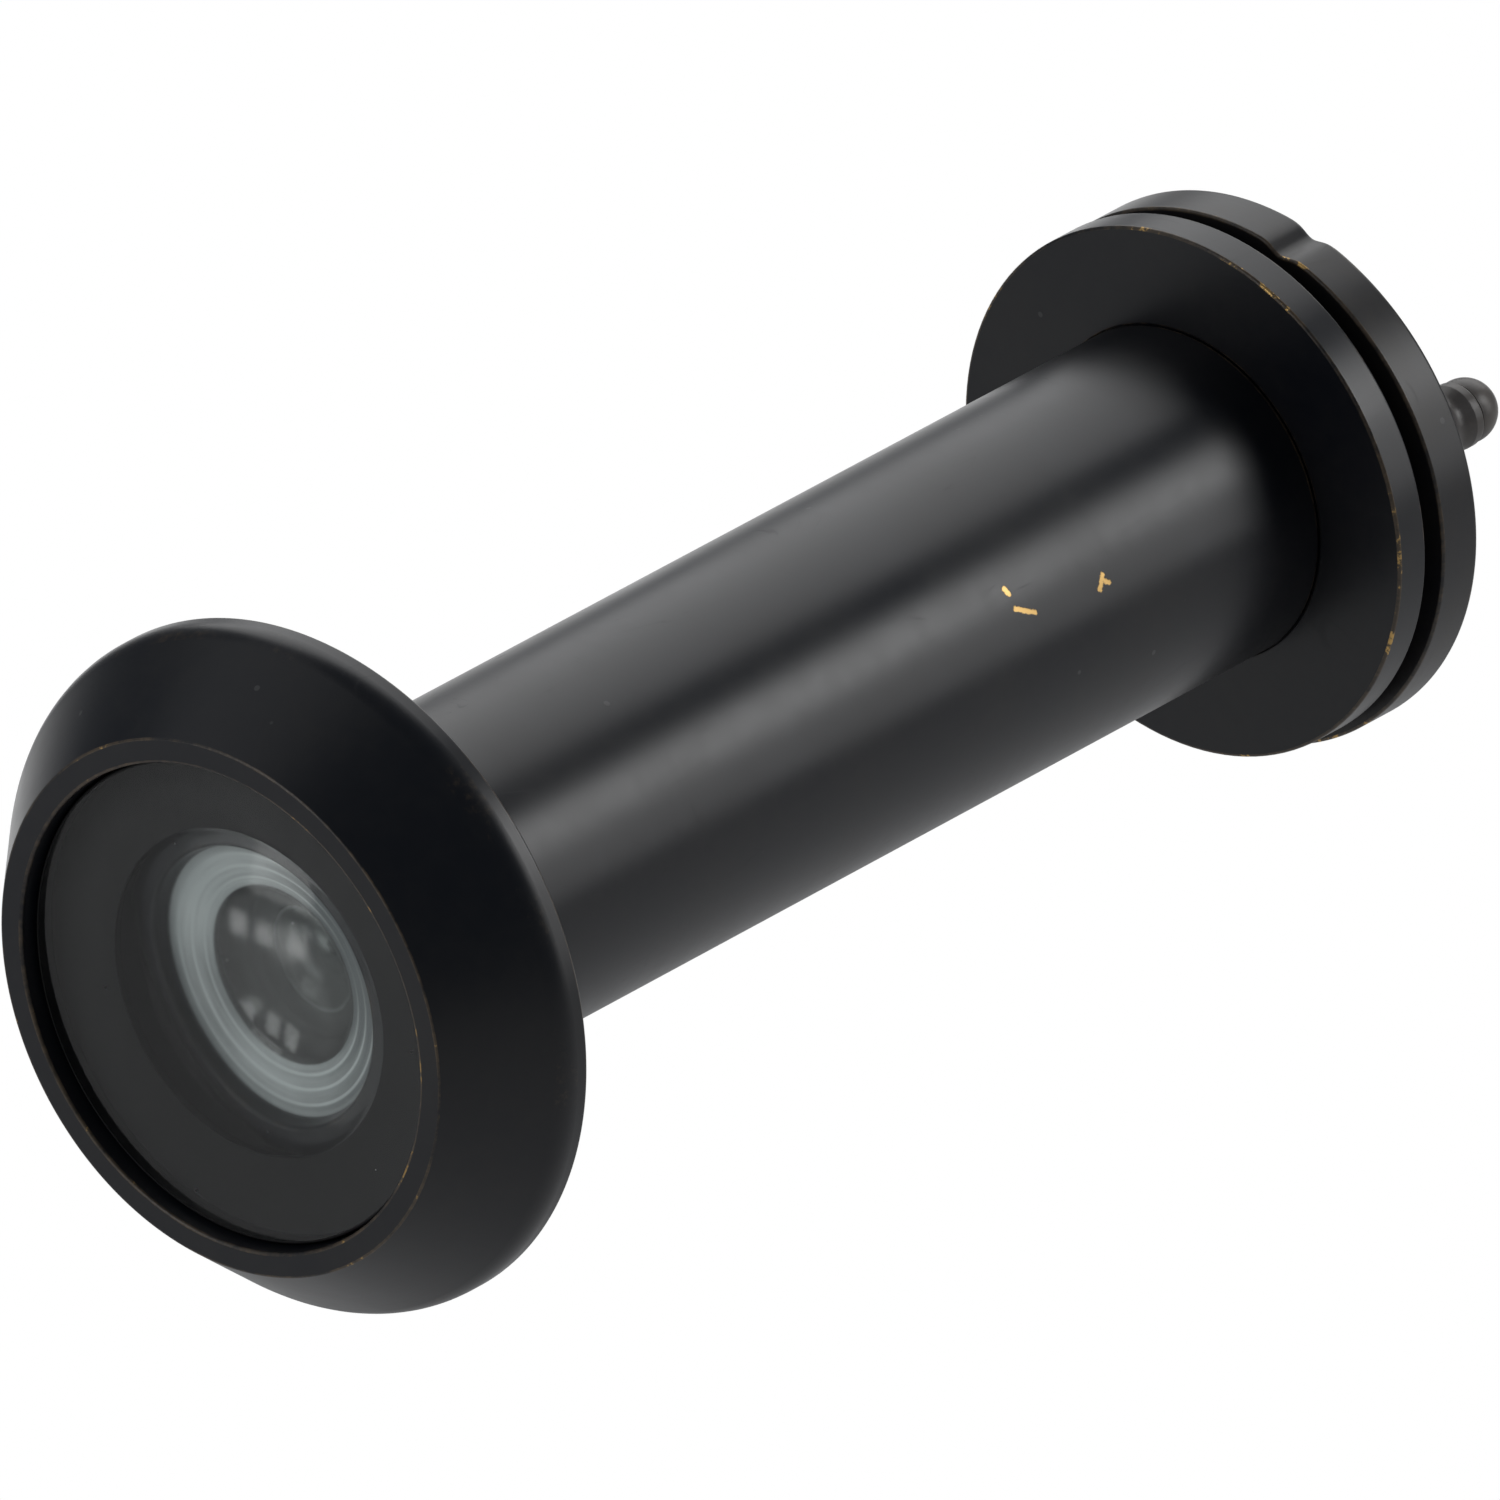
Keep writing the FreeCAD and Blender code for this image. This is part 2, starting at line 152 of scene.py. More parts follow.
def rounding_points(before, corner, after):
    """The arc that rounds a corner, held by a point on the straight run at each end."""
    here = Vector((corner.radius, corner.level))
    back = (Vector((before.radius, before.level)) - here).normalized()
    ahead = (Vector((after.radius, after.level)) - here).normalized()
    half = back.angle(ahead) / 2
    reach = corner.rounding / math.tan(half)
    centre = here + (back + ahead).normalized() * (corner.rounding / math.sin(half))
    first = here + back * reach - centre
    sweep = math.copysign(math.pi - 2 * half, back.x * ahead.y - back.y * ahead.x)
    points = [Point(*(here + back * (reach + HOLD)), 0, 0, corner.ground)]
    for step in range(ARC_STEPS + 1):
        turn = -sweep * step / ARC_STEPS
        place = centre + Vector((first.x * math.cos(turn) - first.y * math.sin(turn),
                                 first.x * math.sin(turn) + first.y * math.cos(turn)))
        points.append(Point(*place, corner.wear, 0, corner.ground))
    points.append(Point(*(here + ahead * (reach + HOLD)), 0, 0, corner.ground))
    return points


def outline(corners):
    """Points of a closed outline, anticlockwise in radius and level, from its corners."""
    points = []
    for index, corner in enumerate(corners):
        if isinstance(corner, Point):
            points.append(corner)
        elif corner.rounding:
            after = corners[(index + 1) % len(corners)]
            points += rounding_points(corners[index - 1], corner, after)
        else:
            points.append(Point(corner.radius, corner.level, corner.wear, 0, corner.ground))
    return points


def dish(size, edge_level, side, steps=22):
    """A spherical dish from its edge to the axis. Side is 1 where the dish goes indoors, else -1."""
    width, depth = size
    curve = (width ** 2 + depth ** 2) / (2 * depth)
    opening = math.asin(width / curve)
    points = []
    for step in range(steps + 1):
        turn = opening * (1 - step / steps)
        level = edge_level + side * (depth - curve + curve * math.cos(turn))
        points.append(Point(curve * math.sin(turn), level, 0, 0, 0))
    return points


def barrel_outline():
    """Bevelled head, seat and barrel, turned from one bar."""
    return outline([
        Corner(RECESS_RADIUS, HEAD_FLOOR),
        Corner(RECESS_RADIUS, RIM_LEVEL, EDGE, 0.82),
        Corner(RIM_RADIUS, RIM_LEVEL, EDGE, 0.75),
        Corner(HEAD_RADIUS, ROLL_LEVEL, ROLL_RADIUS, 0.22),
        Corner(HEAD_RADIUS, 0, EDGE, 0.6),
        Corner(BARREL_RADIUS, 0),
        Corner(BARREL_RADIUS, BARREL_END, 0.2, 0.7),
        Corner(BORE_RADIUS, BARREL_END, 0.15, 0.7),
        Corner(BORE_RADIUS, CELL_END),
        Corner(CELL_RADIUS, CELL_END),
        Corner(CELL_RADIUS, LIP_LEVEL),
        Corner(LIP_RADIUS, LIP_LEVEL),
        Corner(LIP_RADIUS, HEAD_FLOOR, 0.15, 0.4),
    ])


def thread_points():
    """Four points a turn. Each turn climbs one pitch on its way round, so the ends lie one turn apart."""
    points = []
    turns = round((THREAD_END - THREAD_START) / THREAD_PITCH)
    for turn in range(-1, turns):
        level = THREAD_START + turn * THREAD_PITCH
        points.append(Point(THREAD_ROOT, level, 0, 1))
        points.append(Point(THREAD_CREST, level + 0.40 * THREAD_PITCH, 0.5, 1))
        points.append(Point(THREAD_CREST, level + 0.55 * THREAD_PITCH, 0.5, 1))
        points.append(Point(THREAD_ROOT, level + 0.95 * THREAD_PITCH, 0, 1))
    return points


def tube_outline():
    """Threaded tube, indoor flange and the land that the cover slides over."""
    front = [Corner(TUBE_BORE, TUBE_LOW.y, 0.08, 0.4), Corner(THREAD_ROOT, TUBE_LOW.y, 0.2, 0.4)]
    back = [
        Corner(THREAD_ROOT, THREAD_END),
        Corner(THREAD_ROOT, THREAD_END + THREAD_PITCH),
        Corner(THREAD_ROOT, RELIEF_LEVEL),
        Corner(RELIEF_RADIUS, RELIEF_LEVEL),
        Corner(RELIEF_RADIUS, FLANGE_LEVEL, 0.07, 0.55),
        Corner(FLANGE_RADIUS, FLANGE_LEVEL, EDGE, 0.85),
        Corner(FLANGE_RADIUS, FLANGE_BACK, EDGE, 0.45),
        Corner(LAND_RADIUS, FLANGE_BACK),
        Corner(LAND_RADIUS, LAND_TOP, 0.08, 0.5),
        Corner(DISH_RADIUS, LAND_TOP, 0.1, 0.6),
        Corner(APERTURE_RADIUS, FLANGE_LEVEL + 0.4, 0.1, 0.5),
        Corner(APERTURE_RADIUS, OCULAR_HIGH.y + 0.3),
        Corner(TUBE_BORE, OCULAR_HIGH.y + 0.3),
    ]
    return outline(front + thread_points() + back)


def cover_outline():
    return outline([
        Corner(0, COVER_LOW.y),
        Corner(COVER_RADIUS, COVER_LOW.y, EDGE, 0.8),
        Corner(COVER_RADIUS, COVER_HIGH.y, 0.2, 0.45),
        Corner(0, COVER_HIGH.y),
    ])


def knob_outline():
    """Peened shank, collar, waist, bead and ball."""
    back = COVER_HIGH.y
    ball = KNOB_HIGH.y - BALL_RADIUS
    bead_radius, bead_front, bead_back = KNOB_BEAD
    groove_radius, groove_front, groove_back = KNOB_GROOVE
    stem = outline([
        Corner(0, KNOB_LOW.y),
        Corner(KNOB_SHANK, KNOB_LOW.y, 0.1, 0.6),
        Corner(KNOB_SHANK, back),
        Corner(KNOB_COLLAR[0], back, 0.05),
        Corner(KNOB_COLLAR[0], back + KNOB_COLLAR[1], 0.1, 0.5),
        Corner(KNOB_WAIST[0], back + KNOB_WAIST[1], 0.8),
        Corner(bead_radius, ball + bead_front, 0.12, 0.3),
        Corner(bead_radius, ball + bead_back, 0.12, 0.3),
        Corner(groove_radius, ball + groove_front),
        Corner(groove_radius, ball + groove_back),
    ])
    steps = 24
    start = math.acos(-groove_back / BALL_RADIUS)
    turns = [start + (math.pi - start) * step / steps for step in range(steps + 1)]
    crown = [Point(BALL_RADIUS * math.sin(turn), ball - BALL_RADIUS * math.cos(turn)) for turn in turns]
    return stem + crown


def screw_outline():
    """Shoulder screw with a low crowned head."""
    seat = COVER_HIGH.y + 0.05
    return outline([
        Corner(0, SCREW_LOW.y),
        Corner(SCREW_SHANK, SCREW_LOW.y, 0.1),
        Corner(SCREW_SHANK, seat),
        Corner(SCREW_HEAD, seat, 0.05),
        Corner(SCREW_HEAD, seat + 0.35, 0.2, 0.7),
        Corner(0.7 * SCREW_HEAD, SCREW_HIGH.y, 0.6, 0.25),
        Corner(0, SCREW_HIGH.y),
    ])


def front_lens_outline():
    """Flat towards the outdoors, with the deep dish on its indoor side."""
    radius = FRONT_HIGH.x
    back = FRONT_HIGH.y - SEAT_FILM
    return outline([
        Corner(0, FRONT_LOW.y),
        Corner(radius, FRONT_LOW.y, 0.1, 0, 1),
        Corner(radius, back, 0.1, 0, 1),
        Point(FRONT_DISH[0] + LENS_BEVEL, back, 0, 0, 1),
    ] + dish(FRONT_DISH, back - LENS_BEVEL / 2, -1))


def second_lens_outline():
    """A ground funnel leads down to the polished dish."""
    radius = SECOND_HIGH.x
    front = SECOND_LOW.y + SEAT_FILM
    back = SECOND_HIGH.y - SEAT_FILM
    dish_edge = front + SECOND_FUNNEL[1]
    return outline(dish(SECOND_DISH, dish_edge + LENS_BEVEL / 2, 1)[::-1] + [
        Point(SECOND_DISH[0] + LENS_BEVEL, dish_edge - LENS_BEVEL / 2, 0, 0, 1),
        Point(SECOND_FUNNEL[0], front, 0, 0, 1),
        Corner(radius, front, 0.1, 0, 1),
        Corner(radius, back, 0.1, 0, 1),
        Corner(0, back),
    ])


def third_lens_outline():
    """A ground flat surrounds the polished dish."""
    radius = THIRD_HIGH.x
    front = THIRD_LOW.y + SEAT_FILM
    back = THIRD_HIGH.y - SEAT_FILM
    return outline(dish(THIRD_DISH, front + LENS_BEVEL / 2, 1)[::-1] + [
        Point(THIRD_DISH[0] + LENS_BEVEL, front, 0, 0, 1),
        Corner(radius, front, 0.1, 0, 1),
        Corner(radius, back, 0.1, 0, 1),
        Corner(0, back),
    ])


def ocular_outline():
    """Crowned towards the outdoors, flat towards the eye."""
    radius = OCULAR_HIGH.x
    opening = math.asin(radius / OCULAR_CURVE)
    steps = 22
    centre = OCULAR_LOW.y + OCULAR_CURVE
    turns = [opening * step / steps for step in range(steps)]
    crown = [Point(OCULAR_CURVE * math.sin(turn), centre - OCULAR_CURVE * math.cos(turn)) for turn in turns]
    edge_level = centre - OCULAR_CURVE * math.cos(opening)
    return outline(crown + [
        Point(radius, edge_level, 0, 0, 1),
        Corner(radius, OCULAR_HIGH.y - SEAT_FILM, 0.1, 0, 1),
        Corner(0, OCULAR_HIGH.y - SEAT_FILM),
    ])


# ---------------------------------------------------------------- node trees

class Graph:
    """Adds nodes to a tree and links them, so that a tree can be read like a formula."""

    def __init__(self, tree):
        self.tree = tree

    def feed(self, socket, value):
        if isinstance(value, bpy.types.NodeSocket):
            self.tree.links.new(value, socket)
        else:
            socket.default_value = value

    def add(self, kind, inputs=None, **settings):
        node = self.tree.nodes.new(kind)
        for name, value in settings.items():
            setattr(node, name, value)
        for name, value in (inputs or {}).items():
            self.feed(node.inputs[name], value)
        return node

    def math(self, operation, *values):
        node = self.add("ShaderNodeMath", operation=operation)
        for place, value in enumerate(values):
            self.feed(node.inputs[place], value)
        return node.outputs[0]

    def total(self, *values):
        result = values[0]
        for value in values[1:]:
            result = self.math("ADD", result, value)
        return result

    def product(self, *values):
        result = values[0]
        for value in values[1:]:
            result = self.math("MULTIPLY", result, value)
        return result

    def split(self, vector):
        return self.add("ShaderNodeSeparateXYZ", {"Vector": vector}).outputs

    def joined(self, x, y, z):
        return self.add("ShaderNodeCombineXYZ", {"X": x, "Y": y, "Z": z}).outputs[0]

    def ramp(self, value, low, high, start=0.0, end=1.0):
        """Smoothly from start to end as the value goes from low to high."""
        node = self.add("ShaderNodeMapRange", interpolation_type="SMOOTHSTEP")
        for name, number in (("Value", value), ("From Min", low), ("From Max", high),
                             ("To Min", start), ("To Max", end)):
            self.feed(node.inputs[name], number)
        return node.outputs["Result"]

    def mixed(self, factor, first, second):
        """A colour between two others."""
        node = self.add("ShaderNodeMix", data_type="RGBA")
        self.feed(node.inputs[0], factor)
        self.feed(node.inputs[6], first)
        self.feed(node.inputs[7], second)
        return node.outputs[2]


def numbers(*names):
    """Number sockets that start at nought."""
    return [(name, "Float", 0.0) for name in names]


def add_sockets(tree, sockets, in_out):
    for name, kind, value in sockets:
        socket = tree.interface.new_socket(name, in_out=in_out, socket_type="NodeSocket" + kind)
        if value is not None:
            socket.default_value = value


def shape_tree(name, sockets):
    """An empty Geometry Nodes tree with these inputs, and its graph and Group Input."""
    tree = bpy.data.node_groups.new(name, "GeometryNodeTree")
    add_sockets(tree, [("Geometry", "Geometry", None)], "OUTPUT")
    add_sockets(tree, [("Geometry", "Geometry", None)] + sockets + [("Material", "Material", None)], "INPUT")
    graph = Graph(tree)
    return graph, graph.add("NodeGroupInput").outputs


def close_shape_tree(graph, geometry, given, ground=None):
    """Shade smooth across gentle edges, realise, set the materials and join to the output."""
    smooth = graph.add("GeometryNodeSetShadeSmooth", {"Geometry": geometry}, domain="FACE")
    angle = graph.add("GeometryNodeInputMeshEdgeAngle").outputs["Unsigned Angle"]
    steep = graph.math("GREATER_THAN", angle, math.radians(28))
    creased = graph.add("GeometryNodeSetShadeSmooth", {"Geometry": smooth.outputs[0], "Selection": steep,
                                                       "Shade Smooth": False}, domain="EDGE")
    real = graph.add("GeometryNodeRealizeInstances", {"Geometry": creased.outputs[0]})
    set_all = graph.add("GeometryNodeSetMaterial", {"Geometry": real.outputs[0],
                                                    "Material": given["Material"]})
    last = set_all
    if ground is not None:
        last = graph.add("GeometryNodeSetMaterial", {"Geometry": set_all.outputs[0], "Selection": ground,
                                                     "Material": given["Ground Material"]})
    graph.add("NodeGroupOutput", {"Geometry": last.outputs[0]})
    return graph.tree


def named(graph, name):
    reader = graph.add("GeometryNodeInputNamedAttribute", {"Name": name}, data_type="FLOAT")
    return reader.outputs["Attribute"]


def turning_tree():
    """Turns an outline about a line parallel to Y. Points that lead climb one pitch a turn, like a thread."""
    graph, given = shape_tree("turning", [
        ("Segments", "Int", 192), ("Closed", "Int", 1),
        *numbers("Centre X", "Centre Z", "Pitch", "Thread Start", "Thread End", "Thread Root"),
        ("Ground Material", "Material", None)])
    source = given["Geometry"]
    count = graph.add("GeometryNodeAttributeDomainSize", {"Geometry": source}).outputs["Point Count"]
    rows = graph.math("ADD", count, given["Closed"])
    columns = graph.math("ADD", given["Segments"], 1)
    grid = graph.add("GeometryNodeMeshGrid", {"Vertices X": columns, "Vertices Y": rows}).outputs["Mesh"]
    index = graph.add("GeometryNodeInputIndex").outputs[0]
    column = graph.math("FLOOR", graph.math("DIVIDE", graph.math("ADD", index, 0.5), rows))
    row = graph.math("SUBTRACT", index, graph.math("MULTIPLY", column, rows))
    place = graph.math("MODULO", row, count)

    def sampled(value, kind):
        node = graph.add("GeometryNodeSampleIndex", {"Geometry": source, "Index": place}, data_type=kind)
        graph.feed(node.inputs["Value"], value)
        return node.outputs["Value"]

    position = graph.split(sampled(graph.add("GeometryNodeInputPosition").outputs[0], "FLOAT_VECTOR"))
    lead = sampled(named(graph, "lead"), "FLOAT")
    share = graph.math("DIVIDE", column, given["Segments"])
    climbed = graph.total(position[1], graph.product(lead, given["Pitch"], share))
    held = graph.math("MINIMUM", graph.math("MAXIMUM", climbed, given["Thread Start"]), given["Thread End"])
    level = graph.total(position[1], graph.product(lead, graph.math("SUBTRACT", held, position[1])))
    start_fade = graph.ramp(level, given["Thread Start"], graph.total(given["Thread Start"], given["Pitch"]))
    end_fade = graph.ramp(level, graph.math("SUBTRACT", given["Thread End"], given["Pitch"]),
                          given["Thread End"], 1.0, 0.0)
    height = graph.product(graph.math("SUBTRACT", position[0], given["Thread Root"]), start_fade, end_fade)
    thread_radius = graph.total(given["Thread Root"], height)
    radius = graph.total(position[0], graph.product(lead, graph.math("SUBTRACT", thread_radius, position[0])))
    turn = graph.product(share, 2 * math.pi)
    x = graph.total(given["Centre X"], graph.product(radius, graph.math("COSINE", turn)))
    z = graph.total(given["Centre Z"], graph.product(radius, graph.math("SINE", turn)))
    shaped = graph.add("GeometryNodeSetPosition", {"Geometry": grid, "Position": graph.joined(x, level, z)})
    worn = graph.add("GeometryNodeStoreNamedAttribute", {"Geometry": shaped.outputs[0], "Name": "wear",
                                                         "Value": sampled(named(graph, "wear"), "FLOAT")},
                     data_type="FLOAT", domain="POINT")
    marked = graph.add("GeometryNodeStoreNamedAttribute", {"Geometry": worn.outputs[0], "Name": "ground",
                                                           "Value": sampled(named(graph, "ground"), "FLOAT")},
                       data_type="FLOAT", domain="POINT")
    outward = graph.add("GeometryNodeFlipFaces", {"Mesh": marked.outputs[0]})
    merged = graph.add("GeometryNodeMergeByDistance", {"Geometry": outward.outputs[0],
                                                       "Distance": MERGE_DISTANCE * MM})
    ground = graph.math("GREATER_THAN", named(graph, "ground"), 0.9)
    return close_shape_tree(graph, merged.outputs[0], given, ground)


def nick_tree():
    """Presses a rounded nick into the rim of a turned disc."""
    graph, given = shape_tree("rim nick", numbers(
        "Angle", "Centre Z", "Rim Radius", "Depth", "Width", "Reach"))
    x, y, high = graph.split(graph.add("GeometryNodeInputPosition").outputs[0])
    z = graph.math("SUBTRACT", high, given["Centre Z"])
    radius = graph.math("SQRT", graph.total(graph.product(x, x), graph.product(z, z)))
    aside = graph.math("SUBTRACT", graph.product(z, graph.math("COSINE", given["Angle"])),
                       graph.product(x, graph.math("SINE", given["Angle"])))
    along = graph.total(graph.product(x, graph.math("COSINE", given["Angle"])),
                        graph.product(z, graph.math("SINE", given["Angle"])))
    spread = graph.math("DIVIDE", aside, given["Width"])
    bell = graph.math("EXPONENT", graph.product(spread, spread, -1.0))
    outer = graph.math("GREATER_THAN", radius, graph.math("SUBTRACT", given["Rim Radius"], given["Reach"]))
    facing = graph.math("GREATER_THAN", along, 0.0)
    press = graph.product(bell, outer, facing, graph.math("DIVIDE", given["Depth"], radius))
    keep = graph.math("SUBTRACT", 1.0, press)
    moved = graph.joined(graph.product(x, keep), y, graph.total(graph.product(z, keep), given["Centre Z"]))
    pressed = graph.add("GeometryNodeSetPosition", {"Geometry": given["Geometry"], "Position": moved})
    return close_shape_tree(graph, pressed.outputs[0], given)


def cut_away(graph, given, cutter):
    """The incoming geometry less a cutter mesh."""
    boolean = graph.add("GeometryNodeMeshBoolean", operation="DIFFERENCE", solver="EXACT")
    graph.feed(boolean.inputs["Mesh 1"], given["Geometry"])
    graph.feed(boolean.inputs["Mesh 2"], cutter)
    return close_shape_tree(graph, boolean.outputs["Mesh"], given)


def drilling_tree():
    """Drills a round hole along Y between two levels."""
    graph, given = shape_tree("drilling", numbers(
        "Radius", "Centre X", "Centre Z", "Low Level", "High Level"))
    depth = graph.math("SUBTRACT", given["High Level"], given["Low Level"])
    middle = graph.product(graph.total(given["High Level"], given["Low Level"]), 0.5)
    bit = graph.add("GeometryNodeMeshCylinder", {"Vertices": 64, "Radius": given["Radius"], "Depth": depth})
    placed = graph.add("GeometryNodeTransform", {
        "Geometry": bit.outputs["Mesh"], "Rotation": Euler((math.pi / 2, 0, 0)),
        "Translation": graph.joined(given["Centre X"], middle, given["Centre Z"])})
    return cut_away(graph, given, placed.outputs[0])


def slotting_tree():
    """Mills a straight slot across a face: Angle turns it about Y, from +X towards +Z."""
    graph, given = shape_tree("slotting", numbers(
        "Width", "Length", "Angle", "Centre X", "Centre Z", "Low Level", "High Level"))
    depth = graph.math("SUBTRACT", given["High Level"], given["Low Level"])
    middle = graph.product(graph.total(given["High Level"], given["Low Level"]), 0.5)
    bar = graph.add("GeometryNodeMeshCube", {"Size": graph.joined(given["Length"], depth, given["Width"])})
    placed = graph.add("GeometryNodeTransform", {
        "Geometry": bar.outputs["Mesh"],
        "Rotation": graph.joined(0.0, graph.product(given["Angle"], -1.0), 0.0),
        "Translation": graph.joined(given["Centre X"], middle, given["Centre Z"])})
    return cut_away(graph, given, placed.outputs[0])


def apply_tree(piece, tree, values):
    """Adds a Geometry Nodes modifier and sets its named inputs by their identifiers."""
    modifier = piece.modifiers.new(tree.name, "NODES")
    modifier.node_group = tree
    for item in tree.interface.items_tree:
        if item.item_type == "SOCKET" and item.in_out == "INPUT" and item.name in values:
            modifier[item.identifier] = values[item.name]


def outline_object(name, points):
    """A mesh of loose points in the plane of radius and level, with what the turning needs of each."""
    mesh = bpy.data.meshes.new(name)
    mesh.from_pydata([(point.radius * MM, point.level * MM, 0) for point in points], [], [])
    for fact in ("wear", "lead", "ground"):
        layer = mesh.attributes.new(fact, "FLOAT", "POINT")
        layer.data.foreach_set("value", [float(getattr(point, fact)) for point in points])
    piece = bpy.data.objects.new(name, mesh)
    bpy.context.scene.collection.objects.link(piece)
    return piece


def settle(piece):
    """Turns the piece's modifiers into a plain mesh."""
    bpy.context.view_layer.update()
    graph = bpy.context.evaluated_depsgraph_get()
    mesh = bpy.data.meshes.new_from_object(piece.evaluated_get(graph), preserve_all_data_layers=True,
                                           depsgraph=graph)
    piece.modifiers.clear()
    piece.data = mesh
    mesh.name = piece.name


def turned_piece(node, body, slot, points, material, cuts=(), segments=192, closed=True, centre=(0, 0),
                 **more):
    """A piece turned from its outline, then cut, which stands for a CAD node and rides on its body."""
    piece = outline_object(node + "_finish", points)
    values = {"Segments": segments, "Closed": int(closed),
              "Centre X": centre[0] * MM, "Centre Z": centre[1] * MM,
              "Material": material, "Ground Material": more.pop("ground", material)}
    values.update(more)
    apply_tree(piece, TURNING, values)
    for tree, sizes in cuts:
        apply_tree(piece, tree, dict(sizes, Material=material))
    settle(piece)
    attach(piece, body)
    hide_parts(node)
    return piece


# ---------------------------------------------------------------- effects that several finishes share

def effect(name, inputs, outputs):
    """An empty shader group with these inputs and outputs, its graph and its Group Input."""
    tree = bpy.data.node_groups.new(name, "ShaderNodeTree")
    add_sockets(tree, inputs, "INPUT")
    add_sockets(tree, outputs, "OUTPUT")
    graph = Graph(tree)
    return graph, graph.add("NodeGroupInput").outputs


def noise(graph, vector, scale, detail=2.0, roughness=0.5, w=None):
    node = graph.add("ShaderNodeTexNoise", {"Vector": vector, "Scale": scale, "Detail": detail,
                                            "Roughness": roughness},
                     noise_dimensions="3D" if w is None else "4D")
    if w is not None:
        graph.feed(node.inputs["W"], w)
    return node.outputs["Fac"]


def radius_of(graph, x, z):
    return graph.math("SQRT", graph.total(graph.product(x, x), graph.product(z, z), 1e-12))


def turning_marks_effect():
    """Fine rings that a lathe tool leaves, on faces and on cylinders alike."""
    graph, given = effect("turning marks", [
        ("Vector", "Vector", None), *numbers("Centre X", "Centre Z"),
        ("Rings per mm", "Float", 14.0)], numbers("Height"))
    x, y, z = graph.split(given["Vector"])
    x = graph.math("SUBTRACT", x, given["Centre X"])
    z = graph.math("SUBTRACT", z, given["Centre Z"])
    radius = radius_of(graph, x, z)
    rings = graph.math("DIVIDE", given["Rings per mm"], MM)
    across = graph.joined(graph.product(radius, rings), graph.product(y, rings),
                          graph.product(graph.math("DIVIDE", x, radius), 0.6))
    height = noise(graph, across, 1.0, 3.0, 0.6, graph.product(graph.math("DIVIDE", z, radius), 0.6))
    graph.add("NodeGroupOutput", {"Height": height})
    return graph.tree


def scratches_effect():
    """Sparse hair scratches in several directions, from handling."""
    graph, given = effect("hair scratches", [("Vector", "Vector", None), ("Scale", "Float", 1.0)],
                          numbers("Mask"))
    masks = []
    for turn, stretch in ((0.3, 22.0), (1.2, 30.0), (2.3, 26.0)):
        turned = graph.add("ShaderNodeMapping", {"Vector": given["Vector"],
                                                 "Rotation": Euler((turn, turn * 2, turn))})
        squeezed = graph.add("ShaderNodeMapping", {
            "Vector": turned.outputs[0], "Scale": Vector((stretch, 1.0, 1.0)) * 90.0})
        field = noise(graph, squeezed.outputs[0], given["Scale"], 1.0)
        line = graph.ramp(graph.math("ABSOLUTE", graph.math("SUBTRACT", field, 0.5)), 0.0, 0.006, 1.0, 0.0)
        gate = graph.ramp(noise(graph, given["Vector"], 160.0 * stretch / 20, 1.0), 0.60, 0.68)
        masks.append(graph.product(line, gate))
    strongest = graph.math("MAXIMUM", graph.math("MAXIMUM", masks[0], masks[1]), masks[2])
    graph.add("NodeGroupOutput", {"Mask": strongest})
    return graph.tree


def worn_edge_effect():
    """Where the finish has rubbed through on an edge. Wear is how exposed the edge is."""
    graph, given = effect("worn edge", [
        ("Vector", "Vector", None), ("Wear", "Float", 0.0), ("Amount", "Float", 0.5)],
        numbers("Bare", "Rubbed"))
    patches = noise(graph, given["Vector"], 260.0, 2.0)
    grains = noise(graph, given["Vector"], 2600.0, 3.0, 0.65)
    chance = graph.total(graph.product(patches, 0.75), graph.product(grains, 0.55))
    need = graph.math("SUBTRACT", 1.12, graph.product(given["Wear"], given["Amount"]))
    bare = graph.ramp(chance, need, graph.total(need, 0.06))
    rubbed = graph.ramp(chance, graph.math("SUBTRACT", need, 0.30), graph.total(need, 0.05))
    exposed = graph.ramp(given["Wear"], 0.02, 0.15)
    graph.add("NodeGroupOutput", {"Bare": graph.product(bare, exposed),
                                  "Rubbed": graph.product(rubbed, exposed)})
    return graph.tree


def chip_effect():
    """One short scratch down to the brass, on a cylinder about Y."""
    graph, given = effect("brass scratch", [
        ("Vector", "Vector", None),
        *numbers("Angle", "Level", "Surface Radius", "Length", "Width", "Slant")], numbers("Mask"))
    x, y, z = graph.split(given["Vector"])
    radius = radius_of(graph, x, z)
    around = graph.product(graph.math("SUBTRACT", graph.math("ARCTAN2", z, x), given["Angle"]), radius)
    along = graph.math("SUBTRACT", y, given["Level"])
    cosine = graph.math("COSINE", given["Slant"])
    sine = graph.math("SINE", given["Slant"])
    run = graph.total(graph.product(around, cosine), graph.product(along, sine))
    off = graph.math("SUBTRACT", graph.product(along, cosine), graph.product(around, sine))
    past = graph.math("MAXIMUM", graph.math("SUBTRACT", graph.math("ABSOLUTE", run),
                                            graph.product(given["Length"], 0.5)), 0.0)
    distance = graph.math("SQRT", graph.total(graph.product(past, past), graph.product(off, off)))
    ragged = graph.product(noise(graph, given["Vector"], 9000.0, 2.0), given["Width"])
    mask = graph.ramp(graph.total(distance, ragged), given["Width"], graph.product(given["Width"], 1.4),
                      1.0, 0.0)
    outside = graph.math("GREATER_THAN", radius, graph.math("SUBTRACT", given["Surface Radius"], 0.1 * MM))
    graph.add("NodeGroupOutput", {"Mask": graph.product(mask, outside)})
    return graph.tree


